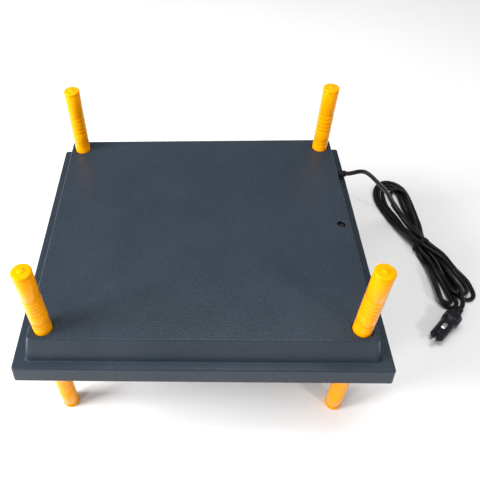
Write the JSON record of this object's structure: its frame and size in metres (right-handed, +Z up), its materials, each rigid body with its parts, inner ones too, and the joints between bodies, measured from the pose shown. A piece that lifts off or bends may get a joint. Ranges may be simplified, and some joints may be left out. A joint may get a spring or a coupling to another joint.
{
  "type": "brooder heating plate",
  "caption": "Flat electric heating plate on height-adjustable sliding legs, with a 12 V lead and car plug, that chicks or trays are kept warm under.",
  "frame": {"origin": "on the standing surface, under the middle of the plate, without the free lead", "axes": "+Z up; +X towards the side that the lead leaves from; -Y towards the front; legs slide along Z"},
  "size_m": [0.5975, 0.445, 0.2655],
  "materials": {
    "slate_abs": "thermoformed ABS with a fine pebble grain",
    "panel_abs": "flat ABS sheet",
    "yellow_plastic": "glossy moulded plastic",
    "black_plastic": "satin moulded plastic",
    "cord_pvc": "soft PVC cable sheath",
    "rubber": "matt rubber",
    "foil": "heat-spreading foil",
    "foam": "white foam board",
    "zinc_steel": "zinc-plated",
    "nickel": "nickel-plated brass",
    "silicone_red": "silicone insulation",
    "silicone_blue": "silicone insulation",
    "smoked_lens": "smoked clear plastic",
    "clear_glass": "clear glass",
    "white_plastic": "heat-resistant moulding"
  },
  "bodies": {
    "root": {"cord_gland": "black_plastic", "cord_hank": "cord_pvc", "cord_lead": "cord_pvc", "cord_tail": "cord_pvc", "cord_tie": "rubber", "cutout_lead": "silicone_red", "gland_nut": "black_plastic", "grip_ring_back_left": "rubber", "grip_ring_back_right": "rubber", "grip_ring_front_left": "rubber", "grip_ring_front_right": "rubber", "heating_foil": "foil", "heating_wire": "silicone_red", "indicator_housing": "black_plastic", "indicator_led": "clear_glass", "indicator_lens": "smoked_lens", "insulation_board": "foam", "lead_negative": "silicone_blue", "lead_positive": "silicone_red", "leg_guide_back_left": "black_plastic", "leg_guide_back_right": "black_plastic", "leg_guide_front_left": "black_plastic", "leg_guide_front_right": "black_plastic", "panel_screw_end_back_left": "zinc_steel", "panel_screw_end_back_right": "zinc_steel", "panel_screw_end_front_left": "zinc_steel", "panel_screw_end_front_right": "zinc_steel", "panel_screw_side_back_left": "zinc_steel", "panel_screw_side_back_right": "zinc_steel", "panel_screw_side_front_left": "zinc_steel", "panel_screw_side_front_right": "zinc_steel", "plug_fuse": "clear_glass", "plug_nose_cap": "black_plastic", "plug_shell_lower": "black_plastic", "plug_shell_upper": "black_plastic", "plug_strain_relief": "rubber", "rim_frame": "panel_abs", "splice_negative": "nickel", "splice_positive": "nickel", "thermal_cutout": "white_plastic", "top_cover": "slate_abs", "underside_panel": "panel_abs"},
    "leg_front_left": {"leg_tube_front_left": "yellow_plastic", "leg_cap_front_left": "yellow_plastic", "leg_foot_front_left": "yellow_plastic"},
    "leg_front_right": {"leg_tube_front_right": "yellow_plastic", "leg_cap_front_right": "yellow_plastic", "leg_foot_front_right": "yellow_plastic"},
    "leg_back_left": {"leg_tube_back_left": "yellow_plastic", "leg_cap_back_left": "yellow_plastic", "leg_foot_back_left": "yellow_plastic"},
    "leg_back_right": {"leg_tube_back_right": "yellow_plastic", "leg_cap_back_right": "yellow_plastic", "leg_foot_back_right": "yellow_plastic"},
    "plug_tip": {"plug_tip_pin": "nickel", "plug_tip_spring": "zinc_steel"},
    "contact_upper": {"plug_contact_upper": "nickel"},
    "contact_lower": {"plug_contact_lower": "nickel"}
  },
  "joints": [
    {"name": "leg_slide_front_left", "type": "slide", "parent": "root", "child": "leg_front_left", "axis": [0, 0, 1], "range_m": [-0.09, 0.115]},
    {"name": "leg_slide_front_right", "type": "slide", "parent": "root", "child": "leg_front_right", "axis": [0, 0, 1], "range_m": [-0.09, 0.115]},
    {"name": "leg_slide_back_left", "type": "slide", "parent": "root", "child": "leg_back_left", "axis": [0, 0, 1], "range_m": [-0.09, 0.115]},
    {"name": "leg_slide_back_right", "type": "slide", "parent": "root", "child": "leg_back_right", "axis": [0, 0, 1], "range_m": [-0.09, 0.115]},
    {"name": "tip_press", "type": "slide", "parent": "root", "child": "plug_tip", "axis": [0.7133, 0.7009, 0], "range_m": [0, 0.003], "stiffness_N_per_m": 800, "springref_m": -0.002},
    {"name": "contact_press_upper", "type": "slide", "parent": "root", "child": "contact_upper", "axis": [0, 0, -1], "range_m": [0, 0.0012], "stiffness_N_per_m": 1200, "springref_m": -0.0008},
    {"name": "contact_press_lower", "type": "slide", "parent": "root", "child": "contact_lower", "axis": [0, 0, 1], "range_m": [0, 0.0012], "stiffness_N_per_m": 1200, "springref_m": -0.0008}
  ]
}
